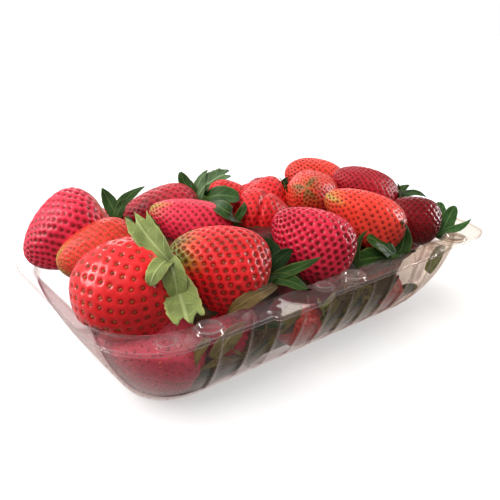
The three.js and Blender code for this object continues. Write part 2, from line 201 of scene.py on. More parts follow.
# Sepals: three points each passes through, its width, its kind and the form of its end.
SEPALS = [
    ((-66.5, -33.5, 57.5), (-70, -30, 63.5), (-71, -18, 71), 8.5, "light", "toothed"),
    ((-67, -33, 57.5), (-72.5, -37.5, 58.5), (-77, -39.5, 54.5), 6, "light", "round"),
    ((-67.5, -34, 57.5), (-67.5, -40, 49.5), (-70, -49.5, 42.5), 11, "light", "toothed"),
    ((-67, -33.5, 57.5), (-68.5, -39, 55), (-67.5, -39.5, 47), 7.5, "light", "round"),
    ((-50.5, 4, 54), (-50, 5.5, 57), (-50, 9, 60), 2.5, "dark", "pointed"),
    ((-57.5, 22.5, 56), (-58, 26.5, 60.5), (-59, 31.5, 66.5), 6, "dark", "pointed"),
    ((-57, 23, 57.5), (-52.5, 24.5, 62), (-44.5, 23, 66.5), 5, "dark", "pointed"),
    ((-58.5, 21, 56.5), (-56, 22, 60), (-53.5, 23.5, 63), 4, "dark", "pointed"),
    ((-21, 19, 58), (-23.5, 22.5, 61.5), (-24.5, 28.5, 68.5), 6, "dark", "round"),
    ((-21, 19, 58.5), (-15.5, 19.5, 64.5), (-5.5, 15.5, 67.5), 9, "grey", "toothed"),
    ((-20.5, 20, 58), (-19, 22.5, 63), (-14, 23, 69), 5, "grey", "pointed"),
    ((-21, 16.5, 58), (-19.5, 6, 62), (-14.5, -0.5, 61.5), 10.5, "dark", "round"),
    ((-21.5, 14.5, 57), (-30, -12, 62), (-17, -6, 52.5), 6, "dark", "pointed"),
    ((-18.5, -3, 53), (-16.5, -4.5, 57), (-14, -3, 60.5), 3.5, "dark", "pointed"),
    ((-29, -36, 41.5), (-22.5, -40.5, 45), (-13, -46.5, 50), 4.5, "dark", "pointed"),
    ((-28.5, -37, 42), (-24.5, -43, 42.5), (-20, -49.5, 38.5), 5.5, "dark", "pointed"),
    ((-30.5, -38.5, 41.5), (-38, -37.5, 39.5), (-46.5, -35, 34.5), 7, "dark", "round"),
    ((-29.5, -38.5, 43), (-35, -38, 41), (-40.5, -37, 36.5), 3, "dark", "pointed"),
    ((-25.5, -32.5, 43), (-21, -30.5, 48), (-22.5, -25, 53.5), 5.5, "deep", "pointed"),
    ((-26, -33, 43), (-21, -33.5, 47), (-16, -34.5, 50), 6, "deep", "pointed"),
    ((10.5, -44.5, 38), (11.5, -41.5, 46), (16.5, -42, 52.5), 2.5, "dark", "pointed"),
    ((31, -45, 37), (36.5, -44.5, 43.5), (32, -46, 54.5), 7, "dark", "pointed"),
    ((30.5, -45.5, 38), (24.5, -43, 45), (20, -39, 48), 7.5, "dark", "round"),
    ((29, -46, 38), (21, -42.5, 40), (12, -40, 39), 9, "dark", "round"),
    ((34.5, -40, 36), (30, -35, 39), (24.5, -30.5, 39), 6.5, "deep", "pointed"),
    ((34, -44, 35.5), (37, -46.5, 37.5), (40.5, -48.5, 39.5), 5, "dark", "pointed"),
    ((70, -40.5, 39.5), (73, -40.5, 44), (77.5, -41, 51), 7, "fresh", "round"),
    ((72.5, -38, 40.5), (75.5, -35, 45.5), (77.5, -32.5, 51), 6, "fresh", "round"),
    ((69.5, -41, 40), (74.5, -44.5, 41.5), (82, -47, 45.5), 3.5, "fresh", "pointed"),
    ((63.5, -17.5, 52.5), (67.5, -17.5, 55), (73, -18.5, 57), 4, "dark", "pointed"),
    ((65, -17.5, 51), (73, -20, 53.5), (80, -23.5, 51), 4, "dark", "pointed"),
    ((21, 10, 57), (20.5, 11.5, 59.5), (22.5, 11.5, 62.5), 3.5, "deep", "pointed"),
    ((-13, 1.5, 46), (-11.5, 1, 48), (-9, 0, 48.5), 4, "deep", "pointed"),
    ((-60, -41.5, 29), (-62.5, -41, 25.5), (-63.5, -39.5, 20.5), 4, "olive", "round"),
    (STAR, (-50.5, -38, 18), (-60.5, -38, 18), 3, "olive", "pointed"),
    (STAR, (-45.5, -39.5, 21), (-50, -41.5, 26.5), 3, "olive", "pointed"),
    (STAR, (-37, -39.5, 20.5), (-34, -42, 28.5), 4.5, "olive", "pointed"),
    (STAR, (-35.5, -32.5, 8.5), (-28.5, -25, -1.5), 3.5, "olive", "pointed"),
    ((-69.5, -36, 15.5), (-64, -36, 14), (-57, -35, 12.5), 3, "olive", "pointed"),
    ((-1, -41.5, 29.5), (-3.5, -41.5, 27), (-8, -41.5, 27), 2, "light", "pointed"),
    ((-7, -41, 28), (-4.5, -40.5, 24), (0, -38, 18), 2, "light", "pointed"),
    ((12, -38, 19), (13.5, -40.5, 24.5), (15, -42, 29.5), 7, "olive", "round"),
    ((-32.5, -42, 42), (-44.5, -45.5, 42.5), (-49.5, -40, 37), 5.5, "brown", "round"),
    ((69, -38, 22), (75, -38, 26), (80, -36, 30), 8, "light", "round"),
]
SEPAL_FACE = (-0.4, -0.5, 0.77)  # the way their broad sides face

# The core's height, half length and half width at each level.
CORE_LEVELS = [(1.4, 64, 23), (10, 70, 29), (22, 74, 34), (34, 74, 36), (44, 68, 31), (51, 52, 18)]


# ---- Small maths ----
def smooth_step(low, high, value):
    part = np.clip((np.asarray(value, float) - low) / (high - low), 0.0, 1.0)
    return part * part * (3.0 - 2.0 * part)


def unit(vector):
    vector = np.asarray(vector, float)
    return vector / np.linalg.norm(vector, axis=-1, keepdims=True)


def tip_axes(heading, pitch, roll):
    """Rotation whose third column points at the tip."""
    turn, rise, spin = math.radians(heading), math.radians(pitch), math.radians(roll)
    level = math.cos(rise)
    tip = np.array([math.cos(turn) * level, math.sin(turn) * level, math.sin(rise)])
    side = unit(np.cross((0.0, 0.0, 1.0), tip))
    up = np.cross(tip, side)
    first = side * math.cos(spin) + up * math.sin(spin)
    return np.stack([first, np.cross(tip, first), tip], axis=1)


# ---- Objects and meshes ----
def show(name, data):
    """A new object of this mesh, lamp or camera, in the scene."""
    thing = bpy.data.objects.new(name, data)
    bpy.context.scene.collection.objects.link(thing)
    return thing


def placed(right, up, back, at):
    """The matrix of an object whose axes these are, at a place in metres."""
    matrix = Matrix.Identity(4)
    for row in range(3):
        matrix[row] = (right[row], up[row], back[row], at[row])
    return matrix


class Builder:
    """Gathers vertices, faces and per-vertex attributes of one piece."""

    def __init__(self):
        self.points, self.faces, self.count = [], [], 0
        self.attributes = {}

    def add(self, points, faces, **attributes):
        points = np.asarray(points, float).reshape(-1, 3)
        self.points.append(points)
        self.faces.extend((np.asarray(face) + self.count).tolist() for face in faces)
        self.count += len(points)
        for name, values in attributes.items():
            self.attributes.setdefault(name, []).append(np.asarray(values, float))

    def make(self, name, material, node_slot, smooth=True):
        """The piece of what was gathered. A value of three numbers becomes a colour."""
        mesh = bpy.data.meshes.new(name)
        points = np.concatenate(self.points) * MM
        mesh.from_pydata(points.tolist(), [], self.faces)
        for key, parts in self.attributes.items():
            values = np.concatenate(parts)
            if values.ndim == 2:
                colour = np.ones((len(values), 4))
                colour[:, :3] = values
                layer = mesh.attributes.new(key, "FLOAT_COLOR", "POINT")
                layer.data.foreach_set("color", colour.ravel())
            else:
                layer = mesh.attributes.new(key, "FLOAT", "POINT")
                layer.data.foreach_set("value", values)
        if smooth:
            mesh.polygons.foreach_set("use_smooth", [True] * len(mesh.polygons))
        mesh.materials.append(material)
        mesh.validate()
        piece = show(name, mesh)
        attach(piece, "root")
        return piece


def grid_faces(rows, columns, closed):
    """Quads of a grid of points, row by row, whose rows close on themselves or not."""
    row, column = np.meshgrid(np.arange(rows - 1), np.arange(columns if closed else columns - 1),
                              indexing="ij")
    following = (column + 1) % columns
    quads = np.stack([row * columns + column, row * columns + following,
                      (row + 1) * columns + following, (row + 1) * columns + column], axis=-1)
    return quads.reshape(-1, 4)


def capped_faces(rings, sides):
    """Faces of closed rings and of a fan at each end, to the two points that follow the rings."""
    faces = grid_faces(rings, sides, True).tolist()
    last, low, high = (rings - 1) * sides, rings * sides, rings * sides + 1
    for side in range(sides):
        following = (side + 1) % sides
        faces.append((following, side, low))
        faces.append((last + side, last + following, high))
    return faces


# ---- Materials ----
class Nodes:
    """A short way to write the node tree of a new material, or of a world."""

    def __init__(self, name, world=False):
        self.owner = (bpy.data.worlds if world else bpy.data.materials).new(name)
        self.owner.use_nodes = True
        self.tree = self.owner.node_tree
        self.tree.nodes.clear()
        self.output = self.add("OutputWorld" if world else "OutputMaterial")

    def add(self, kind, inputs=None, **settings):
        """A node of this kind. Each input is a socket to link or a value."""
        node = self.tree.nodes.new("ShaderNode" + kind)
        for key, value in settings.items():
            setattr(node, key, value)
        for key, value in (inputs or {}).items():
            if isinstance(value, bpy.types.NodeSocket):
                self.tree.links.new(value, node.inputs[key])
            else:
                node.inputs[key].default_value = value
        return node

    def attribute(self, name, output="Fac"):
        return self.add("Attribute", attribute_name=name).outputs[output]

    def place(self, kind="Object"):
        """X, Y and Z of the point that is shaded, or of the direction in a world."""
        return self.add("SeparateXYZ", {0: self.add("TexCoord").outputs[kind]}).outputs

    def maths(self, operation, first, second=0.0, third=0.0):
        inputs = {0: first, 1: second, 2: third}
        return self.add("Math", inputs, operation=operation).outputs[0]

    def times(self, first, second):
        return self.maths("MULTIPLY", first, second)

    def times_plus(self, first, second, third):
        return self.maths("MULTIPLY_ADD", first, second, third)

    def mix(self, factor, first, second, blend="MIX"):
        """Mixes two colours; each is a socket or a linear colour."""
        full = [value if isinstance(value, bpy.types.NodeSocket) else (*value, 1.0)
                for value in (first, second)]
        return self.add("Mix", {"Factor": factor, 6: full[0], 7: full[1]},
                        data_type="RGBA", blend_type=blend).outputs[2]

    def tinted(self, colour, tint):
        return self.mix(1.0, colour, tint, "MULTIPLY")

    def noise(self, scale, detail=3.0, roughness=0.55, distortion=0.0):
        where = self.add("TexCoord").outputs["Object"]
        return self.add("TexNoise", {"Vector": where, "Scale": scale, "Detail": detail,
                        "Roughness": roughness, "Distortion": distortion}).outputs["Fac"]

    def band(self, value, low, high, bottom=0.0, top=1.0):
        return self.add("MapRange", {"Value": value, "From Min": low, "From Max": high,
                        "To Min": bottom, "To Max": top}).outputs["Result"]

    def bump(self, height, strength, distance):
        return self.add("Bump", {"Height": height, "Strength": strength,
                        "Distance": distance}).outputs["Normal"]

    def finish(self, shader):
        self.tree.links.new(shader.outputs[0], self.output.inputs["Surface"])
        return self.owner

    def principled(self, inputs):
        return self.finish(self.add("BsdfPrincipled", inputs))


def skin_material():
    nodes = Nodes("strawberry_skin")
    skin = nodes.attribute("skin", "Color")
    pit, gloss = nodes.attribute("pit"), nodes.attribute("gloss")
    patches = nodes.noise(70.0, 2.0)
    fine = nodes.noise(420.0, 3.0)
    darker = nodes.tinted(skin, (0.55, 0.40, 0.42))
    lighter = nodes.tinted(skin, (1.15, 1.9, 1.8))
    colour = nodes.mix(nodes.band(patches, 0.35, 0.68), darker, skin)
    colour = nodes.mix(nodes.band(fine, 0.45, 0.75, 0.0, 0.45), colour, lighter)
    # Painted sheen: the ridges between the pits are drawn lighter.
    colour = nodes.mix(nodes.band(pit, 0.25, 0.0, 0.0, 0.45), colour, lighter)
    # Painted shade: the pits are drawn darker, most where they are deepest.
    pit_shade = nodes.tinted(colour, (0.34, 0.16, 0.20))
    colour = nodes.mix(nodes.band(pit, 0.12, 0.8, 0.0, 0.95), colour, pit_shade)
    smoothest = nodes.band(gloss, 0.0, 1.0, 0.40, 0.16)
    return nodes.principled({
        "Base Color": colour,
        "Roughness": nodes.times_plus(fine, 0.16, smoothest),
        "Specular IOR Level": 0.40,
        "Subsurface Weight": 0.12,
        "Subsurface Radius": (1.0, 0.2, 0.12),
        "Subsurface Scale": 0.0025,
        "Normal": nodes.bump(fine, 0.25, 0.0004),
    })


def seed_material():
    nodes = Nodes("seed")
    colour = nodes.attribute("skin", "Color")
    fine = nodes.noise(900.0, 2.0)
    lighter = nodes.tinted(colour, (1.9, 1.8, 1.5))
    colour = nodes.mix(nodes.band(fine, 0.3, 0.8, 0.0, 0.6), colour, lighter)
    return nodes.principled({"Base Color": colour, "Roughness": 0.42, "Specular IOR Level": 0.25})


def leaf_material(name, colour, edge, vein):
    """Blades carry two attributes: `along` from root to tip, `side` from -1 to 1 across."""
    nodes = Nodes(name)
    along, side = nodes.attribute("along"), nodes.attribute("side")
    distance = nodes.maths("ABSOLUTE", side)
    midrib = nodes.band(distance, 0.05, 0.16, 1.0, 0.0)
    slant = nodes.times_plus(distance, -0.55, nodes.times(along, 2.2))
    ripple = nodes.maths("SINE", nodes.times(slant, 15.0))
    veins = nodes.band(ripple, 0.82, 1.0, 0.0, 0.6)
    lines = nodes.maths("MAXIMUM", midrib, veins)
    rim = nodes.band(distance, 0.86, 1.0, 0.0, 0.8)
    patches = nodes.noise(160.0, 4.0)
    dark = tuple(0.5 * value for value in colour)
    base = nodes.mix(nodes.band(patches, 0.3, 0.7), dark, colour)
    base = nodes.mix(nodes.times(lines, 0.65), base, vein)
    base = nodes.mix(rim, base, edge)
    height = nodes.times_plus(lines, -0.8, nodes.times(patches, 0.7))
    return nodes.principled({
        "Base Color": base,
        "Roughness": nodes.band(patches, 0.3, 0.7, 0.55, 0.42),
        "Specular IOR Level": 0.22,
        "Normal": nodes.bump(height, 0.7, 0.0006),
    })


def core_shade_material():
    nodes = Nodes("heap_inside_shade")
    patches, blots = nodes.noise(130.0, 3.0), nodes.noise(55.0, 2.0, 0.5, 1.2)
    light = nodes.band(patches, 0.35, 0.65)
    # The dark reds and greens are painted shade: they stand for the fruit and leaves deep in the
    # heap, as dark as the shade in its gaps.
    red = nodes.mix(light, (0.035, 0.004, 0.004), (0.16, 0.008, 0.012))
    green = nodes.mix(light, (0.020, 0.014, 0.005), (0.080, 0.055, 0.018))
    colour = nodes.mix(nodes.band(blots, 0.42, 0.54), green, red)
    return nodes.principled({"Base Color": colour, "Roughness": 0.5})


def plastic_material():
    """Thin clear sheet: mostly see-through, glossy where it is seen at a slant, and with painted
    light where pressing has bent it sharply or where it is cut: there it shows paler and sees
    through darker, standing in for the glints and refraction of a bend. Its milky veil turns from
    mauve to cream along it. It carries three attributes: `crease` where it is bent, which also
    carries a painted pale highlight line beside each panel's border; `ledge` along the border of a
    panel, where a painted dark line of shade is drawn; and `haze` outside one near the ends, where
    a painted pale mauve sheen is drawn."""
    nodes = Nodes("clear_plastic")
    where = nodes.place()
    right = nodes.band(where["X"], -0.05, 0.06)
    lifted = nodes.band(where["Z"], 0.0405, 0.044)  # the corner that is bent up
    crease, ledge, haze = (nodes.attribute(name) for name in ("crease", "ledge", "haze"))
    bare = nodes.maths("SUBTRACT", 1.0, ledge)
    streaks = nodes.noise(38.0, 2.0, 0.5, 0.6)
    slant = nodes.add("LayerWeight", {"Blend": 0.5}).outputs["Facing"]
    edge_on = nodes.maths("POWER", slant, 5.0)
    plain = nodes.mix(right, (0.985, 0.970, 0.975), (0.955, 0.922, 0.880))
    plain = nodes.mix(lifted, plain, (0.72, 0.67, 0.61))
    tint = nodes.mix(edge_on, plain, (0.90, 0.84, 0.82))
    # Painted light at bends: the sheet sees through darker there, and the veil below shows paler,
    # in place of a bend's refraction and glints.
    tint = nodes.mix(crease, tint, (0.60, 0.50, 0.48))
    # Painted shade: a dark line along each panel's border, where the veil and gloss are left out.
    tint = nodes.mix(ledge, tint, (0.38, 0.17, 0.23))
    clear = nodes.add("BsdfTransparent", {"Color": tint})
    gloss = nodes.add("BsdfGlossy", {"Color": (1.0, 0.91, 0.86, 1.0), "Roughness": 0.03,
                      "Normal": nodes.bump(streaks, 0.25, 0.0005)})
    pale = nodes.mix(right, (0.90, 0.72, 0.77), (0.92, 0.84, 0.74))
    # Painted sheen: outside the panels near the ends the veil turns pale mauve and, below, grows
    # thicker.
    pale = nodes.mix(haze, pale, (0.72, 0.40, 0.42))
    lit = nodes.add("BsdfDiffuse", {"Color": pale})
    backlit = nodes.add("BsdfTranslucent", {"Color": pale})
    veil = nodes.add("MixShader", {0: 0.5, 1: lit.outputs[0], 2: backlit.outputs[0]})
    streaky = nodes.band(streaks, 0.35, 0.7, 0.006, 0.018)
    milky = nodes.times_plus(nodes.maths("POWER", slant, 3.0), 0.10, streaky)
    # Painted highlight: more pale veil at bends and on the line beside each panel's border.
    milky = nodes.times_plus(crease, 0.20, milky)
    milky = nodes.times(nodes.times_plus(haze, 0.14, milky), bare)
    fresnel = nodes.maths("MINIMUM", nodes.times_plus(edge_on, 0.75, 0.030), 0.30)
    fresnel = nodes.times(nodes.times_plus(crease, 0.10, fresnel), bare)
    body = nodes.add("MixShader", {0: milky, 1: clear.outputs[0], 2: veil.outputs[0]})
    sheet = nodes.add("MixShader", {0: fresnel, 1: body.outputs[0], 2: gloss.outputs[0]})
    return nodes.finish(sheet)


# ---- The tray ----
def wall_size(depth, skin):
    """Half length, half width and corner radius of the wall `depth` under the rim."""
    part = np.clip(np.asarray(depth, float), 0.0, RIM_HEIGHT) / RIM_HEIGHT
    end_inset = END_FLANGE + END_LEAN * part * RIM_HEIGHT + END_SWEEP * part ** 2
    side_inset = SIDE_FLANGE + SIDE_LEAN * part * RIM_HEIGHT + SIDE_SWEEP * part ** 2
    radius = WALL_TOP_RADIUS + (WALL_BASE_RADIUS - WALL_TOP_RADIUS) * part ** 2
    return (RIM_LENGTH / 2 - end_inset - skin, RIM_WIDTH / 2 - side_inset - skin, radius - skin)


def keep_in_tray(points):
    """Moves points that would cross the wall back inside, or up over the rim if that is nearer."""
    clear = CAD_SHEET + FRUIT_GAP * 0.5
    top = RIM_HEIGHT + FRUIT_GAP
    half_length, half_width, radius = wall_size(RIM_HEIGHT - points[:, 2], clear)
    x, y = points[:, 0], points[:, 1]
    over_x = np.maximum(np.abs(x) - (half_length - radius), 0.0)
    over_y = np.maximum(np.abs(y) - (half_width - radius), 0.0)
    distance = np.hypot(over_x, over_y)
    past = np.maximum(distance - radius, 0.0)
    rise = top - points[:, 2]
    low = (past > 0.0) & (rise > 0.0)
    go_up = low & (rise < past)
    go_in = low & ~go_up
    scale = np.where(go_in, past / np.maximum(distance, 1e-6), 0.0)
    moved = points.copy()
    moved[:, 0] -= np.sign(x) * over_x * scale
    moved[:, 1] -= np.sign(y) * over_y * scale
    moved[:, 2] += np.where(go_up, rise, 0.0)
    moved[:, 2] = np.maximum(moved[:, 2], clear + BASE_GAP)
    return moved


def corner_lift(x, y, depth):
    """How far the near right corner is bent up at a place, `depth` under the rim."""
    along = smooth_step(TAB_START, TAB_FULL, x)
    across = smooth_step(TAB_INNER, TAB_OUTER, -np.asarray(y))
    return TAB_LIFT * along * across * max(0.0, 1.0 - depth / TAB_DEPTH)


def inside_panel(points):
    """How far points of the wall are inside the long sides' panels, whose border runs near the
    base and curves up at the ends."""
    inward, above = np.abs(points[..., 1]) - PANEL_END, points[..., 2] - PANEL_FOOT
    return PANEL_ROUND - np.hypot(np.minimum(inward - PANEL_ROUND, 0.0),
                                  np.minimum(above - PANEL_ROUND, 0.0))


RIB_POINTS = 9  # points of each rib, side to side
GAP_POINTS = 3  # and of the plain wall between two ribs
SIDE_END_POINTS = 5  # and between the last rib and the corner
RIB_PROFILE = 1.4  # power of a rib's outline across
CORNER_GAP = 0.5  # the ribs' points end this far from the corner
ROUND_SIDES = 48
HUB = 0.02  # radius of the first ring of a round pressing
UNDER_INSET = 0.6  # how much narrower its under side is, in sheets
CORNER_POINTS = 40
END_POINTS = 10


def side_places():
    """x and share of the rib's height of the points along the whole row of ribs."""
    places = []
    for rib in range(RIB_COUNT):
        middle = (rib - (RIB_COUNT - 1) / 2) * RIB_SPACING
        for step in range(RIB_POINTS):
            share = 2.0 * step / (RIB_POINTS - 1) - 1.0
            across = share * math.sqrt(abs(share))
            places.append((middle + across * RIB_WIDTH / 2, (1.0 - abs(across)) ** RIB_PROFILE))
        for step in range(GAP_POINTS):
            if rib + 1 < RIB_COUNT:
                gap = RIB_SPACING - RIB_WIDTH
                places.append((middle + RIB_WIDTH / 2 + gap * (step + 1) / (GAP_POINTS + 1), 0.0))
    return places


SIDE_PLACES = side_places()


def tray_ring(half_length, half_width, radius, z, rib, depth):
    """One level ring of the tray, counterclockwise, in the same order at every level."""
    reach, straight = half_length - radius, half_width - radius
    outer = SIDE_PLACES[-1][0]
    shrink = min(1.0, (reach - CORNER_GAP) / outer)
    ends = [outer * shrink + (reach - outer * shrink) * step / (SIDE_END_POINTS + 1)
            for step in range(1, SIDE_END_POINTS + 1)]
    places = [(-x, 0.0) for x in ends[::-1]] + [(x * shrink, height) for x, height in SIDE_PLACES]
    places += [(x, 0.0) for x in ends]
    quarter = np.pi / 2 * np.arange(CORNER_POINTS + 1) / CORNER_POINTS
    half = [(x, -half_width - rib * height) for x, height in places]
    half += [(reach + radius * np.sin(turn), -straight - radius * np.cos(turn)) for turn in quarter]
    half += [(half_length, (2.0 * step / END_POINTS - 1.0) * straight)
             for step in range(1, END_POINTS)]
    half += [(reach + radius * np.cos(turn), straight + radius * np.sin(turn)) for turn in quarter]
    flat = np.concatenate([half, -np.array(half)])
    return np.column_stack([flat, z + corner_lift(flat[:, 0], flat[:, 1], depth)])


def wall_ring(depth, skin, rib):
    """A ring of the wall `depth` under the rim and `skin` inside its outer face, with panels."""
    half_length, half_width, radius = wall_size(depth, skin)
    ring = tray_ring(half_length, half_width, radius, RIM_HEIGHT - depth, rib, depth)
    fade = (smooth_step(*PANEL_FADE_TOP, depth)
            * smooth_step(RIM_HEIGHT, RIM_HEIGHT - PANEL_FADE_BASE, depth))
    away = unit(ring * PANEL_AWAY)
    step = PANEL_STEP * smooth_step(-PANEL_BEND, PANEL_BEND, inside_panel(ring)) * fade
    return ring + away * step[:, None]


def flange_ring(inset, drop):
    """A ring of the flange or its lip, `inset` from its outer edge."""
    return tray_ring(RIM_LENGTH / 2 - inset, RIM_WIDTH / 2 - inset, RIM_RADIUS - inset,
                     RIM_HEIGHT - drop, 0.0, 0.0)


def tilt_facet(ring):
    """The flat of each long side slopes down to the lip along one slanted facet."""
    aside = np.abs(ring[:, 1]) - (RIM_WIDTH / 2 - SIDE_FLANGE)
    along = ring[:, 0] - FACET_START + FACET_SLANT * aside
    window = (smooth_step(-FACET_FADE_IN, FACET_FADE_IN, along)
              * smooth_step(FACET_LENGTH + FACET_FADE_OUT, FACET_LENGTH, along))
    sloped = ring.copy()
    sloped[:, 2] -= FACET_DROP * window * np.clip(aside / SIDE_FLANGE, 0.0, 1.0)
    return sloped


def rib_depth(depth):
    """How far the ribs stand out at a depth under the rim: they fade towards rim and base."""
    return float(RIB_DEPTH * smooth_step(0.0, RIB_FADE, depth)
                 * smooth_step(0.0, RIB_FADE, RIM_HEIGHT - depth))


def between(first, second, count):
    """Rings evenly between two rings, without either."""
    return [first + (second - first) * step / (count + 1) for step in range(1, count + 1)]


def add_round(builder, x, y, outline):
    """A round pressing on the flange: an outline of (radius, height, crease) turned about its axis,
    with its under side the sheet's thickness below."""
    under = [(max(radius - UNDER_INSET * SHEET, 0.0), height - SHEET, crease)
             for radius, height, crease in outline]
    profile = outline + under[::-1]
    base = RIM_HEIGHT + float(corner_lift(x, y, 0.0))
    angle = 2 * np.pi * np.arange(ROUND_SIDES) / ROUND_SIDES
    rings = [np.stack([x + radius * np.cos(angle), y + radius * np.sin(angle),
                       np.full(ROUND_SIDES, base + height)], axis=1)
             for radius, height, crease in profile]
    faces = grid_faces(len(rings), ROUND_SIDES, True)[:, ::-1]
    # crease: the strength of the painted pale highlight line at each ring of the outline.
    crease = np.repeat([crease for radius, height, crease in profile], ROUND_SIDES)
    none = np.zeros(len(crease))
    builder.add(np.concatenate(rings), faces, crease=crease, ledge=none, haze=none)


def add_locks(builder):
    """The dished buttons and smaller flat pads that a lid clips on to."""
    top, floor, dish, edge = BUTTON_HEIGHT, BUTTON_HEIGHT - DISH_DEPTH, DISH_RADIUS, BUTTON_RADIUS
    button = [(HUB, floor, 0.0), (dish - 1.0, floor, 0.0), (dish - 0.7, floor + 0.1, 0.5),
              (dish - 0.5, floor + 0.4, 0.0), (dish - 0.15, top - 0.15, 0.2), (dish, top, 1.0),
              (dish + 0.2, top, 0.1), (edge - 0.9, top, 0.1), (edge - 0.7, top - 0.05, 1.0),
              (edge - 0.55, top - 0.3, 0.1), (edge - 0.2, 0.3, 0.0), (edge, SHEET * 0.5, 0.6)]
    top, edge = PAD_HEIGHT, PAD_RADIUS
    pad = [(HUB, top, 0.0), (edge - 1.4, top, 0.0), (edge - 1.1, top - 0.05, 0.8),
           (edge - 0.9, top - 0.3, 0.0), (edge - 0.2, 0.2, 0.0), (edge, SHEET * 0.5, 0.4)]
    for side in (-1, 1):
        for place in (-1, 0, 1):
            x = place * LOCK_SPACING
            add_round(builder, x, side * LOCK_ROW, button)
            add_round(builder, x + PAD_OFFSET, side * PAD_ROW, pad)


SLIGHT_BEND, SHARP_BEND = 0.28, 1.1  # turns, about in radians, that show first and fully


def sheet_creases(grid):
    """How sharply the sheet bends at each point of a grid of rings, from 0 to 1."""
    crease = np.zeros(grid.shape[:2])
    for axis in (0, 1):
        run = unit(np.roll(grid, -1, axis) - grid + 1e-9)
        turn = np.linalg.norm(run - np.roll(run, 1, axis), axis=-1)
        crease = np.maximum(crease, smooth_step(SLIGHT_BEND, SHARP_BEND, turn))
    crease[[0, -1]] = 0.0
    return crease


LINE_HALF, LINE_FADED = 0.7, 2.2  # the painted dark line of shade beside a panel's border fades between these
LINE_START, LINE_FULL = -50.0, -64.0  # x where it grows stronger, towards the left end
LINE_FAINT = 0.25  # its strength along the rest
PALE_AWAY, PALE_HALF, PALE_STRENGTH = 3.4, 0.8, 0.5  # the painted pale highlight line outside the dark one
WALL_FROM = (RIM_HEIGHT - 1.0, RIM_HEIGHT - 3.0)  # all of these grow below the rim
HAZE_START, HAZE_FULL = -1.2, -2.6  # the painted pale sheen sets in this far outside the border
END_START, END_FULL = 56.0, 68.0  # and this far along the tray


def panel_marks(grid):
    """The painted dark line of shade on each panel's border, the painted pale highlight line beside
    it, and the painted pale sheen outside.
    """
    inside, x = inside_panel(grid), grid[..., 0]
    on_wall = smooth_step(*WALL_FROM, grid[..., 2])
    near_end = smooth_step(END_START, END_FULL, np.abs(x))
    dark = smooth_step(LINE_FADED, LINE_HALF, np.abs(inside)) * on_wall
    dark *= LINE_FAINT + (1.0 - LINE_FAINT) * smooth_step(LINE_START, LINE_FULL, x)
    pale = PALE_STRENGTH * np.exp(-((inside + PALE_AWAY) / PALE_HALF) ** 2) * on_wall
    haze = smooth_step(HAZE_START, HAZE_FULL, inside) * on_wall * near_end
    return dark, pale, haze


CUT_EDGE, TOP_BEND, RIM_BEND = 0.5, 0.35, 0.3  # how strongly these show the painted pale highlight line beside a sharp bend
RIM_BEND_DEPTH = 2.0  # RIM_BEND holds down to here under the rim
LIP_OUTSIDE = (LIP_DROP, LIP_DROP - 0.3, 0.55, 0.25)  # drops of the lip's outer face
LIP_INSIDE = (LIP_DROP, LIP_DROP - 0.3, SHEET + 0.4, SHEET + 0.1)  # and of its inner one
LIP_BEND_OUTSIDE, LIP_BEND_INSIDE = 0.25, SHEET + 0.1  # insets where the flange starts
LIP_RINGS = 5  # on each face
RIM_ROUND = 0.9  # the flange ends this far outside the wall
FLANGE_STEPS = 16
WALL_STEPS = 40
WALL_DEPTHS = [RIM_HEIGHT * (step / WALL_STEPS) for step in range(1, WALL_STEPS - 1)]
# Depth under the rim and inset of the rings that turn the wall into the base.
BASE_LEVELS = [(RIM_HEIGHT - 0.9, 0.0), (RIM_HEIGHT - 0.25, 0.7), (RIM_HEIGHT, 2.2)]
BASE_SHARES = (0.75, 0.5, 0.25)  # sizes of the rings inside the base's edge


def sheet_face(upper):
    """Rings of the sheet's upper or lower face, from the lip's lower edge to the base."""
    if upper:
        shift, lip = SHEET, [flange_ring(0.0, drop) for drop in LIP_OUTSIDE]
        lip.append(flange_ring(LIP_BEND_OUTSIDE, 0.0))
    else:
        shift, lip = 0.0, [flange_ring(SHEET, drop) for drop in LIP_INSIDE]
        lip.append(flange_ring(LIP_BEND_INSIDE, SHEET))
    rim = wall_ring(0.0, shift - RIM_ROUND, 0.0)
    rim[:, 2] -= SHEET - shift
    rings = [tilt_facet(ring) for ring in lip + between(lip[-1], rim, FLANGE_STEPS) + [rim]]
    rings += [wall_ring(depth, shift, rib_depth(depth)) for depth in WALL_DEPTHS]
    for depth, inset in BASE_LEVELS:
        ring = wall_ring(depth, shift + inset, rib_depth(depth))
        ring[:, 2] = RIM_HEIGHT - depth + shift
        rings.append(ring)
    for share in BASE_SHARES:
        scaled = wall_ring(RIM_HEIGHT, shift + BASE_LEVELS[-1][1], 0.0) * (share, share, 1.0)
        scaled[:, 2] = shift
        rings.append(scaled)
    return rings


def tray_piece():
    """Both faces of the sheet, which meet at the lip's lower edge, and the locks."""
    lower, upper = sheet_face(False), sheet_face(True)
    grid, edge = np.stack(lower[::-1] + upper), len(lower)
    softness = np.where(grid[..., 2] > RIM_HEIGHT - RIM_BEND_DEPTH, RIM_BEND, 1.0)
    softness[edge - LIP_RINGS:edge + LIP_RINGS] = TOP_BEND
    softness[edge - 1:edge + 1] = CUT_EDGE
    # Painted light on the sheet: pale highlight lines at its bends and beside each panel's border,
    # a dark line of shade on the border, and a pale sheen outside it near the ends.
    dark, pale, haze = panel_marks(grid)
    crease = np.maximum(sheet_creases(grid) * softness * (1.0 - dark), pale)
    middles = [(0.0, 0.0, 0.0), (0.0, 0.0, SHEET)]
    marks = {name: np.append(values, [0.0, 0.0])
             for name, values in (("crease", crease), ("ledge", dark), ("haze", haze))}
    builder = Builder()
    builder.add(np.concatenate([grid.reshape(-1, 3), middles]), capped_faces(*grid.shape[:2]),
                **marks)
    add_locks(builder)
    return builder


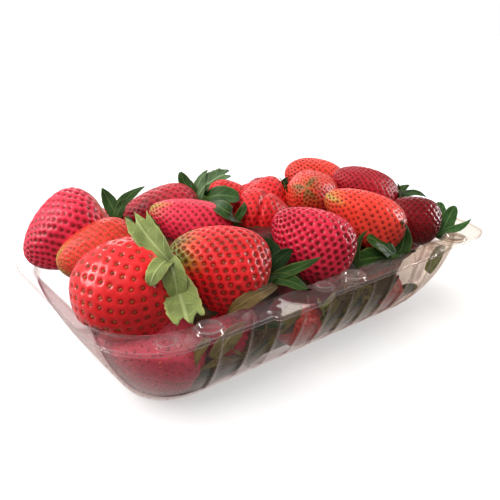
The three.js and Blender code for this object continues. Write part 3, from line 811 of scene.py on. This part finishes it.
# ---- Berries ----
DENT_DEPTH, DENT_WIDTH = 1.6, 4.5  # the hollow under the calyx
ROUNDNESS = 2.2  # power of the outline: 2 is an ellipse, more is blockier
GOLDEN_ANGLE = math.pi * (3.0 - math.sqrt(5.0))
POLE = 0.99995  # `along` of the points that close the ends
SHOULDER = (0.75, 0.32, 0.16)  # colour beside the calyx
SHOULDER_AT, SHOULDER_SHARE = (-0.84, -0.99), 0.35
RIPENS_BEFORE, RIPENS_AFTER = 0.35, 0.25  # stretch over which an unripe tip's colour sets in
SWELL, SWELL_DRIFT, SWELL_ENDS = 0.022, 1.8, (1.0, 0.6)  # how uneven a berry is round its axis
CREASE_AT, CREASE_WINDS, CREASE_WIDTH = -0.05, 0.12, 0.07
CREASE_SIDE = 2.2  # the angle at which a crease is deepest
LEAN = 0.05  # how far a tip may bend aside
SEED_SHIFT = 0.02  # how far seeds are shifted round the axis
PITS_FROM = (-0.97, -0.86)  # pits grow over this stretch of `along`
DARK_PIT = 0.8  # depth of the pits whose painted shade is darkest
SEEDS_FROM, SEEDS_OVER = -0.93, 1.915  # the stretch of `along` that has seeds
FULL_SPACING = 2.6  # seeds closer together than this have shallower pits
SEED_SIDES = 6
SEED_SHARE, SEED_SMALLEST, SEED_LARGEST = 0.19, 0.35, 0.78  # size, as a share of the spacing
SEED_RISE = 0.12  # height of its middle over the floor of the pit
SEED_POINT, SEED_BLUNT, SEED_ASIDE = 1.55, 1.15, 0.85  # its reach to the tip, back and aside
SEED_TOP, SEED_BOTTOM = 0.55, 0.4  # and out and in, all in sizes
SEED_TONES = (0.6, 1.35)


def outline(along, taper):
    """Radius at `along`, from -1 at the calyx to 1 at the tip, before it is scaled."""
    round_part = np.maximum(1.0 - np.abs(along) ** ROUNDNESS, 0.0) ** (1.0 / ROUNDNESS)
    return round_part * (1.0 - taper * along)


def berry_shape(spec, rng):
    """Returns a function from (along, angle) to points in the berry's own axes, +Z at the tip."""
    length, width = spec.size
    widest = outline(np.linspace(-1, 1, 400), spec.taper).max()
    waves = [(k, rng.uniform(0, 2 * math.pi), rng.uniform(-1, 1), rng.uniform(0.3, 1.0))
             for k in (2, 3, 5)]
    lean = rng.uniform(-LEAN, LEAN, 2)

    def place(along, angle):
        radius = outline(along, spec.taper) / widest * width / 2
        swell = np.zeros_like(radius)
        for number, phase, drift, strength in waves:
            phase_here = phase + SWELL_DRIFT * drift * along
            swell += SWELL * strength * np.cos(number * angle + phase_here)
        radius = radius * (1.0 + swell * smooth_step(*SWELL_ENDS, np.abs(along)) * 1.3)
        if spec.crease:
            away = along - CREASE_AT + CREASE_WINDS * np.sin(angle)
            fold = np.exp(-(away / CREASE_WIDTH) ** 2)
            fold = fold * smooth_step(-0.2, 0.6, np.cos(angle - CREASE_SIDE))
            radius = radius - spec.crease * fold
        dent = DENT_DEPTH * np.exp(-(radius / DENT_WIDTH) ** 2) * (along < 0)
        axial = along * length / 2 + dent
        bend = (1.0 + along) ** 2 * 0.25 * length
        return np.stack([radius * np.cos(angle) + lean[0] * bend,
                         radius * np.sin(angle) + lean[1] * bend, axial], axis=-1)
    return place


def seed_places(count):
    number = np.arange(count) + 0.5
    return SEEDS_FROM + SEEDS_OVER * (number / count), number * GOLDEN_ANGLE


def pit_depth(spec, spacing):
    return spec.pit * np.minimum(1.0, spacing / FULL_SPACING)


def normals_of(place, along, angle):
    """The outward normal and the direction to the tip at places on a berry."""
    step = 1e-3
    low, high = np.maximum(along - step, -0.9999), np.minimum(along + step, 0.9999)
    by_along = place(high, angle) - place(low, angle)
    by_angle = place(along, angle + step) - place(along, angle - step)
    normal = np.cross(by_angle, by_along)
    return unit(normal), unit(by_along)


def nearest(points, seeds, chunk=4000):
    """Distance from each point to its nearest seed, and that seed's number."""
    distance, which = np.empty(len(points)), np.empty(len(points), int)
    seed_square = (seeds ** 2).sum(axis=1)
    for start in range(0, len(points), chunk):
        part = points[start:start + chunk]
        square = (part ** 2).sum(axis=1)[:, None] + seed_square - 2.0 * part @ seeds.T
        which[start:start + chunk] = square.argmin(axis=1)
        distance[start:start + chunk] = np.sqrt(np.maximum(square.min(axis=1), 0.0))
    return distance, which


def berry_colour(spec, along, angle, number):
    """The skin's colour: pale beside the calyx, and unripe at the tip of some."""
    skin = np.array(SKINS[spec.skin])
    pale = smooth_step(*SHOULDER_AT, along)[:, None] * SHOULDER_SHARE
    colour = skin * (1 - pale) + np.array(SHOULDER) * pale
    if spec.tip:
        target = np.array(TIPS[spec.tip])
        edge = 1.0 - 2.0 * spec.tip_size
        wobble = 0.12 * np.sin(3 * angle + number) + 0.08 * np.sin(7 * angle)
        unripe = smooth_step(edge - RIPENS_BEFORE, edge + RIPENS_AFTER, along + wobble)[:, None]
        middle = skin * 0.5 + (target + np.array(TIPS["unripe"])) * 0.3
        colour = colour * (1 - unripe) + (middle * (1 - unripe) + target * unripe) * unripe
    return colour


def add_berry(skins, seeds, spec, detail, number):
    """A berry's skin with a pit round each seed, and its seeds."""
    rng = np.random.default_rng(1000 + number)
    place = berry_shape(spec, rng)
    axes = tip_axes(spec.heading, spec.pitch, spec.roll)
    rings, sides = detail
    along, angle = np.meshgrid(-np.cos(np.pi * np.arange(1, rings) / rings),
                               2 * np.pi * np.arange(sides) / sides, indexing="ij")
    along, angle = np.append(along, [-POLE, POLE]), np.append(angle, [0.0, 0.0])
    points = place(along, angle)
    normal = normals_of(place, along, angle)[0]
    normal[-2:] = (0, 0, -1), (0, 0, 1)

    seed_along, seed_angle = seed_places(spec.seeds)
    seed_angle = seed_angle + rng.normal(0, SEED_SHIFT, len(seed_angle))
    seed_points = place(seed_along, seed_angle)
    seed_normal, seed_run = normals_of(place, seed_along, seed_angle)
    gaps = np.linalg.norm(seed_points[:, None] - seed_points[None], axis=-1)
    np.fill_diagonal(gaps, np.inf)
    spacing = np.sort(gaps, axis=1)[:, :4].mean(axis=1)

    distance, which = nearest(points, seed_points)
    share = np.clip(distance / (spec.reach * spacing[which]), 0.0, 1.0)
    hollow = 0.5 * (1.0 + np.cos(np.pi * share))
    grown = smooth_step(*PITS_FROM, along)
    points = points - normal * (hollow * pit_depth(spec, spacing[which]) * grown)[:, None]
    world = keep_in_tray(points @ axes.T + spec.at)
    # `pit` sets the painted shade in the pits and the painted sheen on the ridges between them.
    skins.add(world, capped_faces(rings - 1, sides), skin=berry_colour(spec, along, angle, number),
              pit=hollow * grown * min(1.0, spec.pit / DARK_PIT),
              gloss=np.full(len(world), spec.gloss))
    add_seeds(seeds, spec, rng, seed_points, seed_normal, seed_run, axes, spacing)


def add_seeds(seeds, spec, rng, places, normal, run, axes, spacing):
    """Flat teardrops that sit in the pits, their points to the tip."""
    size = np.clip(spacing * SEED_SHARE, SEED_SMALLEST, SEED_LARGEST)[:, None]
    across = np.cross(normal, run)
    centre = places - normal * (pit_depth(spec, spacing)[:, None] - SEED_RISE)
    ring = []
    for side in range(SEED_SIDES):
        angle = 2 * math.pi * side / SEED_SIDES
        long_part = size * math.cos(angle) * (SEED_POINT if math.cos(angle) > 0 else SEED_BLUNT)
        ring.append(centre + run * long_part + across * size * SEED_ASIDE * math.sin(angle))
    top = centre + normal * size * SEED_TOP
    bottom = centre - normal * size * SEED_BOTTOM
    corners = np.stack(ring + [bottom, top], axis=1)
    count, per = corners.shape[:2]
    middle = centre @ axes.T + spec.at
    shift = np.repeat(keep_in_tray(middle) - middle, per, axis=0)
    first = np.arange(count)[:, None, None] * per
    faces = (np.array(capped_faces(1, SEED_SIDES))[None] + first).reshape(-1, 3)
    tone = rng.uniform(*SEED_TONES, (count, 1))
    colour = np.repeat(np.array(SEEDS[spec.seed]) * tone, per, axis=0)
    seeds.add(corners.reshape(-1, 3) @ axes.T + spec.at + shift, faces.tolist(), skin=colour)


def middle_berries():
    """Berries under the top layer, each turned another way."""
    kinds = ["deep", "crimson", "bright"]
    return [Berry(at, 137 * number, 12 * (number % 3), MIDDLE_SIZE, 0.32, kinds[number % 3], 140)
            for number, at in enumerate(MIDDLE_BERRIES)]


# ---- Leaves ----
# Each kind's colour, the colour of its edge and that of its veins, linear.
LEAF_KINDS = {
    "light": ((0.25, 0.30, 0.085), (0.42, 0.39, 0.13), (0.38, 0.43, 0.17)),
    "grey": ((0.09, 0.16, 0.060), (0.26, 0.32, 0.17), (0.24, 0.32, 0.17)),
    # Olive: its own colour, made lighter to make up for the light that the plastic and the heap
    # keep from the leaves behind the near wall: partly painted light.
    "olive": ((0.26, 0.22, 0.060), (0.40, 0.31, 0.12), (0.36, 0.31, 0.12)),
    "brown": ((0.13, 0.080, 0.026), (0.20, 0.13, 0.05), (0.17, 0.12, 0.04)),
    "dark": ((0.024, 0.065, 0.010), (0.12, 0.13, 0.03), (0.075, 0.13, 0.030)),
    "fresh": ((0.045, 0.125, 0.030), (0.14, 0.20, 0.08), (0.11, 0.20, 0.06)),
    "deep": ((0.010, 0.030, 0.006), (0.04, 0.05, 0.015), (0.025, 0.05, 0.012)),
}
BLADE_ROWS, BLADE_COLUMNS = 18, 11  # points of a blade, along it and across
BLADE_THICKNESS = 0.35
BLADE_ROOT = 3.0  # length of blade hidden in the calyx
ROSETTE_TIPS = 7
CALYX_RADIUS, CALYX_DEPTH = 2.5, 0.6  # where a rosette's leaves spring, on the end of its berry
WALL_LEAVES = 44  # along each long wall, before the gaps
WALL_LEAF_REACH = 58.0
WALL_LOWEST, WALL_HIGHEST = 3.0, 35.0
WALL_KINDS = ["olive", "brown", "dark", "olive", "brown"]
WALL_BARE = [(-72.0, 13.0), (-9.0, 8.0), (46.0, 6.0)]  # x and half width of gaps in them


def blade_half(end, t):
    """Half width of a blade, as a share of its full half width, from root to tip."""
    if end == "round":
        return 2.0 * np.sqrt((0.05 + 0.94 * t) * (0.95 - 0.94 * t))
    if end == "toothed":
        return 0.25 + 0.75 * smooth_step(-0.1, 0.6, t)
    bulge = np.sin(np.pi * (0.10 + 0.90 * t ** 0.95)) ** 0.75
    return np.maximum(bulge, 0.06 + 0.2 * (1.0 - t))


def blade_notch(end, s, phase):
    """How far the end of a blade falls short of its tip, as a share of its length."""
    if end == "toothed":
        saw = np.abs(((s * 1.25 + phase) % 1.0) * 2.0 - 1.0)
        return 0.02 + 0.17 * saw + 0.06 * np.abs(s) ** 3
    return 0.0 * s


def add_blade(leaves, path, width, face, end, rng, cup=0.16):
    """A sepal: a thin blade along a curve through three points, cupped and wavy."""
    root, middle, tip = [np.asarray(point, float) for point in path]
    length = np.linalg.norm(middle - root) + np.linalg.norm(tip - middle)
    root = root - BLADE_ROOT * unit(middle - root)
    control = 2.0 * middle - (root + tip) / 2.0
    phase = rng.uniform(0.0, 1.0)
    twist = rng.uniform(-0.30, 0.30)
    t = np.linspace(0.0, 1.0, BLADE_ROWS)[:, None]
    s = np.linspace(-1.0, 1.0, BLADE_COLUMNS)[None, :]
    run = (t * (1.0 - blade_notch(end, s, phase) * smooth_step(0.45, 1.0, t)))[..., None]
    line = (1 - run) ** 2 * root + 2 * run * (1 - run) * control + run ** 2 * tip
    forward = unit((1 - run) * (control - root) + run * (tip - control))
    across = unit(np.cross(np.broadcast_to(face, forward.shape), forward))
    normal = np.cross(forward, across)
    scallop = 0.035 * np.sin(34.0 * t + 6.28 * phase) * np.abs(s) ** 3 * smooth_step(0.3, 0.6, t)
    half = width / 2 * blade_half(end, t)
    wide = s * half * (1.0 + scallop)
    wave = 0.026 * length * np.sin(5.0 * t + 1.3 * phase)
    wave = wave + 0.30 * np.sin(9.0 * t + 2.5 * s + 6.28 * phase)
    lift = wave * np.sin(np.pi * t) + cup * half * s ** 2
    angle = twist * t
    sheet = (line + across * (wide * np.cos(angle))[..., None]
             + normal * (lift + wide * np.sin(angle))[..., None])
    up = unit(np.cross(np.gradient(sheet, axis=0), np.gradient(sheet, axis=1)) + 1e-9)
    thick = BLADE_THICKNESS * (1.0 - 0.75 * np.abs(s) ** 4) * np.ones_like(t)
    offset = up * (thick / 2)[..., None]
    points = keep_in_tray(np.stack([sheet + offset, sheet - offset]).reshape(-1, 3))
    number = np.arange(BLADE_ROWS * BLADE_COLUMNS).reshape(BLADE_ROWS, BLADE_COLUMNS)
    faces = grid_faces(BLADE_ROWS, BLADE_COLUMNS, False).tolist()
    faces += [[corner + number.size for corner in quad[::-1]] for quad in faces]
    edge = np.concatenate([number[0, :-1], number[:-1, -1], number[-1, :0:-1], number[:0:-1, 0]])
    for here, there in zip(edge, np.roll(edge, -1)):
        faces.append((there, here, here + number.size, there + number.size))
    both = (2, BLADE_ROWS, BLADE_COLUMNS)
    leaves.add(points, faces, along=np.broadcast_to(t, both).ravel(),
               side=np.broadcast_to(s, both).ravel())


def add_rosette(leaves, spec, rng):
    """Sepals that lie back on the berry's shoulder, all round its calyx end."""
    length, width = spec.size
    axes = tip_axes(spec.heading, spec.pitch, spec.roll)
    for number in range(ROSETTE_TIPS):
        angle = 2 * math.pi * (number + rng.uniform(-0.2, 0.2)) / ROSETTE_TIPS
        spoke = np.array([math.cos(angle), math.sin(angle), 0.0])
        reach = width * rng.uniform(0.42, 0.52)
        root = spoke * CALYX_RADIUS + (0, 0, -length * 0.5 + CALYX_DEPTH)
        tip = spoke * reach + (0, 0, -length * rng.uniform(0.36, 0.46))
        middle = (root + tip) / 2 - (0, 0, 0.1 * reach)
        path = [axes @ point + spec.at for point in (root, middle, tip)]
        add_blade(leaves, path, rng.uniform(4.5, 6.5), axes @ np.array([0.0, 0.0, -1.0]),
                  "pointed", rng)


def add_wall_leaves(builders, rng):
    """Crowded sepals pressed flat against the inside of the two long walls."""
    for side in (-1, 1):
        for number in range(WALL_LEAVES):
            share = (number + rng.uniform(0, 1)) / WALL_LEAVES
            middle = WALL_LEAF_REACH * (2.0 * share - 1.0)
            height = rng.uniform(7.0, 28.0)
            heading = rng.uniform(-0.3, 1.4)
            half = rng.uniform(6.0, 11.0)
            gap = rng.uniform(1.8, 3.2)
            width = rng.uniform(4.0, 8.5)
            if any(abs(middle - bare) < reach for bare, reach in WALL_BARE):
                continue
            path = []
            for step in (-1, 0, 1):
                x = middle + step * half * math.cos(heading)
                z = min(max(height + step * half * math.sin(heading), WALL_LOWEST), WALL_HIGHEST)
                inside = wall_size(RIM_HEIGHT - z, CAD_SHEET + gap - 0.5 * abs(step))[1]
                path.append((x, side * inside, z))
            end = "round" if number % 3 else "pointed"
            kind = WALL_KINDS[number % len(WALL_KINDS)]
            add_blade(builders[kind], path, width, (0.0, side, 0.3), end, rng, 0.05)


def leaf_builders():
    """One builder for each kind of leaf."""
    rng = np.random.default_rng(77)
    builders = {kind: Builder() for kind in LEAF_KINDS}
    add_wall_leaves(builders, np.random.default_rng(31))
    for first, second, third, width, kind, end in SEPALS:
        add_blade(builders[kind], (first, second, third), width, SEPAL_FACE, end, rng)
    for berries in TOP_BERRIES.values():
        for spec in berries.values():
            if spec.rosette:
                add_rosette(builders["dark"], spec, rng)
    return builders


# ---- Core ----
CORE_SIDES = 48
CORE_SQUARE = 0.6  # power that turns its round levels squarish


def core_builder():
    """A squarish form inside the heap, so that no light falls through it."""
    angles = 2 * np.pi * np.arange(CORE_SIDES) / CORE_SIDES
    circle = np.stack([np.cos(angles), np.sin(angles)], axis=1)
    x, y = (np.sign(circle) * np.abs(circle) ** CORE_SQUARE).T
    rings = [np.stack([half_length * x, half_width * y, np.full(CORE_SIDES, float(z))], axis=1)
             for z, half_length, half_width in CORE_LEVELS]
    faces = grid_faces(len(rings), CORE_SIDES, True).tolist()
    last = (len(rings) - 1) * CORE_SIDES
    faces.append(list(range(CORE_SIDES))[::-1])
    faces.append([last + side for side in range(CORE_SIDES)])
    builder = Builder()
    builder.add(np.concatenate(rings), faces)
    return builder


# ---- Putting it together ----
# Rings and sides of a berry.
TOP_DETAIL = ((84, 120))
FRONT_DETAIL = ((120, 170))
HIDDEN_DETAIL = (36, 48)


def build_fruit():
    skin, seed = skin_material(), seed_material()
    seeds = {"gold": Builder(), "brown": Builder(), "dark": Builder(), "hidden": Builder()}
    number = 0
    for group, berries in TOP_BERRIES.items():
        skins = Builder()
        detail = FRONT_DETAIL if group == "berries_front" else TOP_DETAIL
        for spec in berries.values():
            add_berry(skins, seeds[spec.seed], spec, detail, number)
            number += 1
        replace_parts(skins.make(group, skin, "fruit"), "strawberries")
    hidden = Builder()
    for spec in middle_berries() + LOWER_BERRIES:
        add_berry(hidden, seeds["hidden"], spec, HIDDEN_DETAIL, number)
        number += 1
    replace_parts(hidden.make("berries_under", skin, "fruit"), "strawberries")
    for kind, builder in seeds.items():
        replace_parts(builder.make("seeds_" + kind, seed, "fruit"), "strawberries")
    core = core_builder().make("heap_core", core_shade_material(), "fruit", smooth=False)
    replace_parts(core, "strawberries")


def build_leaves():
    for kind, builder in leaf_builders().items():
        material = leaf_material("leaf_" + kind, *LEAF_KINDS[kind])
        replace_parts(builder.make("leaves_" + kind, material, "fruit"), "strawberries")


def build_tray():
    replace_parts(tray_piece().make("clear_tray", plastic_material(), "clear_plastic"), "tray")


# ---- Camera, floor and light ----
CAMERA_AT = (-145.5, -175.1, 123.1)
CAMERA_TURN, CAMERA_RISE = -38.0, 21.04
FOCAL_PIXELS, FRAME_PIXELS, SENSOR = 556.79, 500.0, 36.0
WORLD_BELOW, WORLD_ABOVE, WORLD_SEEN = 0.12, 0.50, 1.0
FLOOR_GLOW = 0.50  # keeps the shadow on the floor pale
FLOOR_HALF, FLOOR_GAP = 40.0, 0.0004  # half its width, and the gap under the tray
GLOSS_BEFORE, GLOSS_BEHIND = 0.13, 0.90


def add_camera():
    turn, rise = math.radians(CAMERA_TURN), math.radians(CAMERA_RISE)
    right = np.array([math.cos(turn), math.sin(turn), 0.0])
    level = math.cos(rise)
    back = np.array([math.sin(turn) * level, -math.cos(turn) * level, math.sin(rise)])
    data = bpy.data.cameras.new("camera")
    data.sensor_width = SENSOR
    data.lens = FOCAL_PIXELS / FRAME_PIXELS * SENSOR
    data.clip_start = 0.01
    camera = show("camera", data)
    camera.matrix_world = placed(right, np.cross(back, right), back, np.array(CAMERA_AT) * MM)
    bpy.context.scene.camera = camera


def add_floor():
    nodes = Nodes("floor_white")
    grain = nodes.noise(3.0, 2.0)
    colour = nodes.mix(grain, (0.54, 0.54, 0.54), (0.57, 0.57, 0.565))
    mesh = bpy.data.meshes.new("floor")
    corners = [(x * FLOOR_HALF, y * FLOOR_HALF, 0) for x, y in ((-1, -1), (1, -1), (1, 1), (-1, 1))]
    mesh.from_pydata(corners, [], [(0, 1, 2, 3)])
    mesh.materials.append(nodes.principled({
        "Base Color": colour, "Roughness": 0.9, "Specular IOR Level": 0.1,
        "Emission Strength": FLOOR_GLOW, "Emission Color": (1.0, 0.99, 0.98, 1.0),
    }))
    floor = show("floor", mesh)
    floor.location.z = -FLOOR_GAP
    floor.visible_glossy = False
    floor.visible_diffuse = False


def add_softbox(name, at, look, size, power):
    """A panel that only the gloss shows."""
    data = bpy.data.lights.new(name, "AREA")
    data.shape = "RECTANGLE"
    data.size, data.size_y = size
    data.energy = power
    away = unit(np.subtract(at, look))
    side = unit(np.cross((0.0, 0.0, 1.0), away))
    lamp = show(name, data)
    lamp.matrix_world = placed(side, np.cross(away, side), away, at)
    lamp.visible_diffuse = False


def add_sun(name, towards, strength, spread):
    data = bpy.data.lights.new(name, "SUN")
    data.energy = strength
    data.angle = math.radians(spread)
    lamp = show(name, data)
    lamp.rotation_mode = "QUATERNION"
    lamp.rotation_quaternion = Vector(towards).to_track_quat("Z", "Y")
    lamp.visible_glossy = False


def add_world():
    """Pale light from all round, stronger from above. The gloss sees a bright backdrop behind the
    punnet and a dimmer room before it, and the camera sees plain white."""
    nodes = Nodes("studio", world=True)
    where, path = nodes.place("Generated"), nodes.add("LightPath").outputs
    light = nodes.band(where["Z"], -1.0, 1.0, WORLD_BELOW, WORLD_ABOVE)
    mirrored = nodes.band(where["Y"], -0.2, 0.6, GLOSS_BEFORE, GLOSS_BEHIND)
    strength = nodes.band(path["Is Glossy Ray"], 0.0, 1.0, light, mirrored)
    strength = nodes.band(path["Is Camera Ray"], 0.0, 1.0, strength, WORLD_SEEN)
    white = nodes.add("Background", {"Color": (1.0, 1.0, 1.0, 1.0), "Strength": strength})
    bpy.context.scene.world = nodes.finish(white)


def add_light():
    """A broad key from the left and above, weak suns from the right and the front, and panels that
    show in the gloss."""
    add_world()
    middle = (0.0, 0.0, 0.04)
    add_sun("sun_key", (-0.50, 0.10, 0.82), 4.0, 60.0)
    add_sun("sun_right", (0.75, -0.30, 0.50), 0.35, 20.0)
    add_sun("sun_front", (-0.45, -0.80, 0.30), 0.3, 40.0)
    add_softbox("window_left", (-0.70, 0.35, 0.50), middle, (0.14, 0.40), 3.5)
    add_softbox("strip_right", (0.80, -0.35, 0.35), middle, (0.10, 0.50), 7.0)
    add_softbox("panel_behind", (0.177, 0.847, 0.454), (-0.093, 0.0, 0.04), (0.20, 0.24), 1.0)
    add_softbox("panel_right", (0.58, 0.49, 0.62), (-0.03, -0.05, 0.04), (0.24, 0.20), 0.65)
    view = bpy.context.scene.view_settings
    view.view_transform = "Standard"
    view.look = "None"
    bpy.context.scene.cycles.transparent_max_bounces = 24


def main():
    add_camera()
    add_floor()
    add_light()
    build_fruit()
    build_leaves()
    build_tray()


main()
